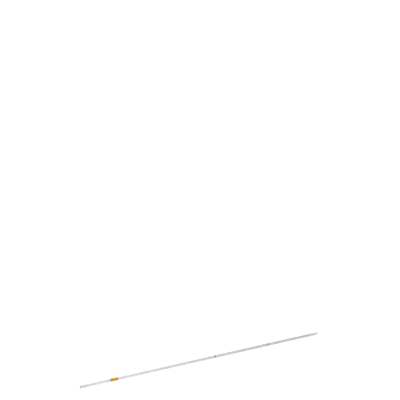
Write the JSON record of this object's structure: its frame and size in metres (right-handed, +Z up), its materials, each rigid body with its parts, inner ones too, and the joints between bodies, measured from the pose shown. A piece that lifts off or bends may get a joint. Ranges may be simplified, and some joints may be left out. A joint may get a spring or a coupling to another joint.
{
  "type": "glass capillary tube",
  "caption": "Thin straight glass capillary pipette, open at both ends, with an orange colour code band and narrow black volume rings fired on its outside.",
  "frame": {"origin": "on the surface that the tube lies on, below the middle of its length", "axes": "+X along the tube from the holder end to the filling end, +Z up"},
  "size_m": [0.125, 0.0012, 0.0011],
  "materials": {
    "glass": "clear drawn borosilicate glass with flame-rounded ends",
    "orange_print": "thin fired ceramic print, satin",
    "black_print": "thin fired ceramic print, satin"
  },
  "bodies": {
    "root": {"glass_tube": "glass", "colour_band": "orange_print", "half_volume_ring": "black_print", "full_volume_ring": "black_print"}
  },
  "joints": []
}
